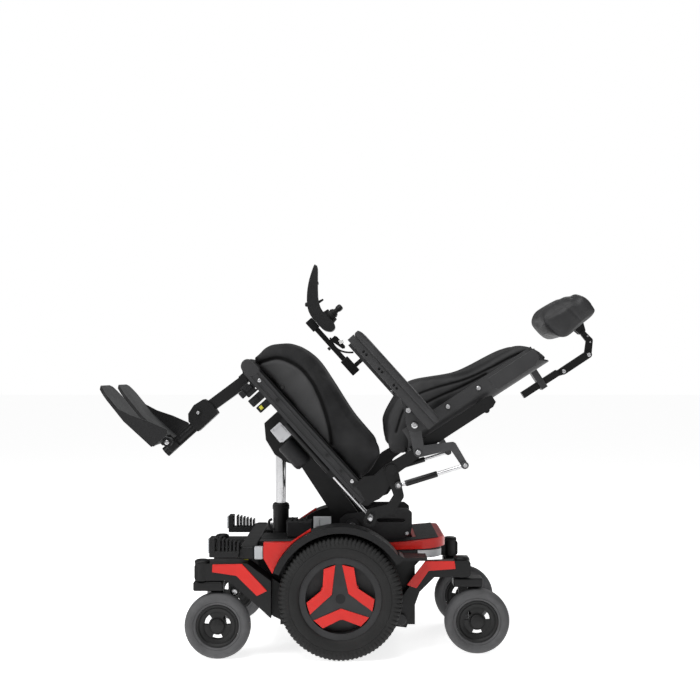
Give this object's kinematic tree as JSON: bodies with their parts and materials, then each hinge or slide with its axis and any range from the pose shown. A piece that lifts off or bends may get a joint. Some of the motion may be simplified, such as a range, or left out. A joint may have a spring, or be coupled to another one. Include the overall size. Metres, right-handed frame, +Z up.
{
  "type": "power wheelchair",
  "caption": "Powered wheelchair with mid-wheel drive base, swivelling casters, tilting seat, reclining back, elevating legrest, armrests, headrest and joystick.",
  "frame": {"origin": "on the floor under the middle of the chair's length and width, in the tilted rest posture", "axes": "+Z up, +X towards the rear of the chair, +Y towards the user's right (the joystick side)"},
  "size_m": [1.4596, 0.662, 1.1615],
  "materials": {
    "black_frame": "satin powder coat",
    "battery_case": "matte",
    "black_cover": "fine texture",
    "red_cover": "satin gloss",
    "cast_motor": "black coated",
    "electronics": "matte",
    "lamp_lens": "clear",
    "steel_plate": "satin powder coat",
    "tyre": "matte rubber",
    "rim": "dark painted",
    "caster": "grey rubber",
    "chrome": "polished",
    "cushion_cover": "stretch fabric",
    "foam_pad": "soft grain",
    "bright_steel": "zinc plated",
    "back_shell": "smooth black",
    "footplate": "grey textured",
    "joystick_plastic": "matte",
    "cable": "matte",
    "light_steel": "grey coat"
  },
  "bodies": {
    "chassis": {"base_frame": "black_frame", "battery_pack": "battery_case", "base_cover": "black_cover", "rear_cover": "red_cover", "side_panels": "red_cover", "fenders": "black_cover", "gearmotors": "cast_motor", "power_module": "electronics", "headlights": "black_cover", "lenses": "lamp_lens", "seat_mount_bracket": "steel_plate"},
    "lift_arm": {"lift_arm": "steel_plate"},
    "actuator_housing": {"actuator_housing": "black_cover"},
    "actuator_rod": {"actuator_rod": "chrome"},
    "seat": {"seat_frame": "steel_plate", "seat_cushion": "cushion_cover", "leg_actuator": "electronics"},
    "recline_rods": {"recline_rods": "bright_steel"},
    "leg_upper": {"leg_upper_tube": "steel_plate"},
    "leg_lower": {"leg_lower_tube": "steel_plate"},
    "footplate_left": {"footplate_left": "footplate"},
    "footplate_right": {"footplate_right": "footplate"},
    "back": {"back_arms": "steel_plate", "back_brackets": "light_steel", "back_shell": "back_shell", "back_cushion": "cushion_cover"},
    "armrest_left": {"armrest_left": "steel_plate", "armrest_pad_left": "foam_pad"},
    "armrest_right": {"armrest_right": "steel_plate", "armrest_pad_right": "foam_pad", "joystick_arm": "steel_plate", "joystick_module": "joystick_plastic", "joystick_cable": "cable"},
    "joystick_gimbal": {"joystick_gimbal": "joystick_plastic"},
    "joystick_knob": {"joystick_knob": "joystick_plastic"},
    "joystick_toggle": {"joystick_toggle": "joystick_plastic"},
    "headrest_bar": {"headrest_bar": "steel_plate"},
    "headrest_link_lower": {"headrest_link_lower": "steel_plate"},
    "headrest_link_upper": {"headrest_link_upper": "steel_plate"},
    "headrest_pad": {"headrest_pad": "foam_pad"},
    "brake_lever_left": {"brake_lever_left": "steel_plate"},
    "drive_wheel_left": {"drive_tyre_left": "tyre", "drive_rim_left": "rim", "wheel_trim_left": "red_cover"},
    "arm_front_left": {"arm_front_left": "black_frame"},
    "fork_front_left": {"fork_front_left": "black_frame"},
    "caster_front_left": {"caster_front_left": "caster"},
    "arm_rear_left": {"arm_rear_left": "black_frame"},
    "fork_rear_left": {"fork_rear_left": "black_frame"},
    "caster_rear_left": {"caster_rear_left": "caster"},
    "brake_lever_right": {"brake_lever_right": "steel_plate"},
    "drive_wheel_right": {"drive_tyre_right": "tyre", "drive_rim_right": "rim", "wheel_trim_right": "red_cover"},
    "arm_front_right": {"arm_front_right": "black_frame"},
    "fork_front_right": {"fork_front_right": "black_frame"},
    "caster_front_right": {"caster_front_right": "caster"},
    "arm_rear_right": {"arm_rear_right": "black_frame"},
    "fork_rear_right": {"fork_rear_right": "black_frame"},
    "caster_rear_right": {"caster_rear_right": "caster"}
  },
  "joints": [
    {"name": "seat_tilt", "type": "hinge", "parent": "chassis", "child": "lift_arm", "pos_m": [0.004, 0, 0.354], "axis": [0, 1, 0], "range_deg": [-25, 0]},
    {"name": "seat_on_lift_arm", "type": "hinge", "parent": "lift_arm", "child": "seat", "pos_m": [-0.168, 0, 0.605], "axis": [0, 1, 0], "range_deg": [-23.1, 0.1]},
    {"name": "tilt_actuator_swing", "type": "hinge", "parent": "chassis", "child": "actuator_housing", "pos_m": [-0.214, 0, 0.215], "axis": [0, 1, 0], "range_deg": [-12.7, 0.1]},
    {"name": "tilt_actuator_stroke", "type": "slide", "parent": "actuator_housing", "child": "actuator_rod", "axis": [0, 0, 1], "range_m": [-0.1152, 0.0005]},
    {"name": "recline", "type": "hinge", "parent": "seat", "child": "back", "pos_m": [0.11331, 0, 0.53319], "axis": [0, 1, 0], "range_deg": [-5, 45]},
    {"name": "recline_actuator_stroke", "type": "slide", "parent": "seat", "child": "recline_rods", "axis": [0.6691, 0, -0.7431], "range_m": [-0.116, 0.0135]},
    {"name": "legrest_lift", "type": "hinge", "parent": "seat", "child": "leg_upper", "pos_m": [-0.31997, 0, 0.78573], "axis": [0, 1, 0], "range_deg": [0, 75]},
    {"name": "leg_length", "type": "slide", "parent": "leg_upper", "child": "leg_lower", "axis": [-0.7431, 0, -0.6691], "range_m": [0, 0.04]},
    {"name": "footplate_flip_left", "type": "hinge", "parent": "leg_lower", "child": "footplate_left", "pos_m": [-0.55139, -0.043, 0.59889], "axis": [0, 1, 0], "range_deg": [0, 85]},
    {"name": "footplate_flip_right", "type": "hinge", "parent": "leg_lower", "child": "footplate_right", "pos_m": [-0.55139, 0.043, 0.59889], "axis": [0, 1, 0], "range_deg": [0, 85]},
    {"name": "armrest_flip_left", "type": "hinge", "parent": "back", "child": "armrest_left", "pos_m": [0.17751, -0.272, 0.65975], "axis": [0, 1, 0], "range_deg": [-45, 90]},
    {"name": "armrest_flip_right", "type": "hinge", "parent": "back", "child": "armrest_right", "pos_m": [0.17751, 0.272, 0.65975], "axis": [0, 1, 0], "range_deg": [-45, 90]},
    {"name": "joystick_fore_aft", "type": "hinge", "parent": "armrest_right", "child": "joystick_gimbal", "pos_m": [-0.0667, 0.297, 0.99763], "axis": [0, 1, 0], "range_deg": [-18, 18], "stiffness_Nm_per_rad": 0.3},
    {"name": "joystick_side", "type": "hinge", "parent": "joystick_gimbal", "child": "joystick_knob", "pos_m": [-0.0667, 0.297, 0.99763], "axis": [0.6691, 0, -0.7431], "range_deg": [-18, 18], "stiffness_Nm_per_rad": 0.3},
    {"name": "joystick_toggle", "type": "hinge", "parent": "armrest_right", "child": "joystick_toggle", "pos_m": [-0.11272, 0.297, 1.03828], "axis": [0, 1, 0], "range_deg": [-14, 14], "stiffness_Nm_per_rad": 0.05},
    {"name": "headrest_height", "type": "slide", "parent": "back", "child": "headrest_bar", "axis": [0.8387, 0, 0.5446], "range_m": [-0.015, 0.045]},
    {"name": "headrest_reach", "type": "hinge", "parent": "headrest_bar", "child": "headrest_link_lower", "pos_m": [0.6457, 0, 0.81227], "axis": [0, 1, 0], "range_deg": [-8, 25]},
    {"name": "headrest_elbow", "type": "hinge", "parent": "headrest_link_lower", "child": "headrest_link_upper", "pos_m": [0.72167, 0, 0.86256], "axis": [0, 1, 0], "range_deg": [-6, 25]},
    {"name": "headrest_angle", "type": "hinge", "parent": "headrest_link_upper", "child": "headrest_pad", "pos_m": [0.70391, 0, 0.93103], "axis": [0, 1, 0], "range_deg": [-6, 15]},
    {"name": "brake_release_left", "type": "hinge", "parent": "chassis", "child": "brake_lever_left", "pos_m": [-0.223, -0.224, 0.277], "axis": [0, 0, -1], "range_deg": [0, 50]},
    {"name": "drive_spin_left", "type": "hinge", "parent": "chassis", "child": "drive_wheel_left", "pos_m": [-0.03, -0.265, 0.175], "axis": [0, 1, 0], "continuous": true},
    {"name": "suspension_front_left", "type": "hinge", "parent": "chassis", "child": "arm_front_left", "pos_m": [-0.16, -0.2, 0.13], "axis": [0, 1, 0], "range_deg": [-3, 2], "stiffness_Nm_per_rad": 9000},
    {"name": "caster_swivel_front_left", "type": "hinge", "parent": "arm_front_left", "child": "fork_front_left", "pos_m": [-0.421, -0.25, 0.23], "axis": [0, 0, 1], "continuous": true},
    {"name": "caster_spin_front_left", "type": "hinge", "parent": "fork_front_left", "child": "caster_front_left", "pos_m": [-0.377, -0.25, 0.0935], "axis": [0, 1, 0], "continuous": true},
    {"name": "suspension_rear_left", "type": "hinge", "parent": "chassis", "child": "arm_rear_left", "pos_m": [0.142, -0.2, 0.102], "axis": [0, -1, 0], "range_deg": [-3, 2], "stiffness_Nm_per_rad": 9000},
    {"name": "caster_swivel_rear_left", "type": "hinge", "parent": "arm_rear_left", "child": "fork_rear_left", "pos_m": [0.318, -0.19, 0.23], "axis": [0, 0, 1], "continuous": true},
    {"name": "caster_spin_rear_left", "type": "hinge", "parent": "fork_rear_left", "child": "caster_rear_left", "pos_m": [0.362, -0.19, 0.0935], "axis": [0, 1, 0], "continuous": true},
    {"name": "brake_release_right", "type": "hinge", "parent": "chassis", "child": "brake_lever_right", "pos_m": [-0.223, 0.224, 0.277], "axis": [0, 0, 1], "range_deg": [0, 50]},
    {"name": "drive_spin_right", "type": "hinge", "parent": "chassis", "child": "drive_wheel_right", "pos_m": [-0.03, 0.265, 0.175], "axis": [0, 1, 0], "continuous": true},
    {"name": "suspension_front_right", "type": "hinge", "parent": "chassis", "child": "arm_front_right", "pos_m": [-0.16, 0.2, 0.13], "axis": [0, 1, 0], "range_deg": [-3, 2], "stiffness_Nm_per_rad": 9000},
    {"name": "caster_swivel_front_right", "type": "hinge", "parent": "arm_front_right", "child": "fork_front_right", "pos_m": [-0.421, 0.25, 0.23], "axis": [0, 0, 1], "continuous": true},
    {"name": "caster_spin_front_right", "type": "hinge", "parent": "fork_front_right", "child": "caster_front_right", "pos_m": [-0.377, 0.25, 0.0935], "axis": [0, 1, 0], "continuous": true},
    {"name": "suspension_rear_right", "type": "hinge", "parent": "chassis", "child": "arm_rear_right", "pos_m": [0.142, 0.2, 0.102], "axis": [0, -1, 0], "range_deg": [-3, 2], "stiffness_Nm_per_rad": 9000},
    {"name": "caster_swivel_rear_right", "type": "hinge", "parent": "arm_rear_right", "child": "fork_rear_right", "pos_m": [0.318, 0.19, 0.23], "axis": [0, 0, 1], "continuous": true},
    {"name": "caster_spin_rear_right", "type": "hinge", "parent": "fork_rear_right", "child": "caster_rear_right", "pos_m": [0.362, 0.19, 0.0935], "axis": [0, 1, 0], "continuous": true}
  ],
  "couplings": [
    {"joint": "seat_on_lift_arm", "follows": "seat_tilt", "ratio": 0.92},
    {"joint": "tilt_actuator_swing", "follows": "seat_tilt", "ratio": 0.502},
    {"joint": "tilt_actuator_stroke", "follows": "seat_tilt", "m_per_rad": 0.263},
    {"joint": "recline_actuator_stroke", "follows": "recline", "m_per_rad": -0.14668}
  ]
}
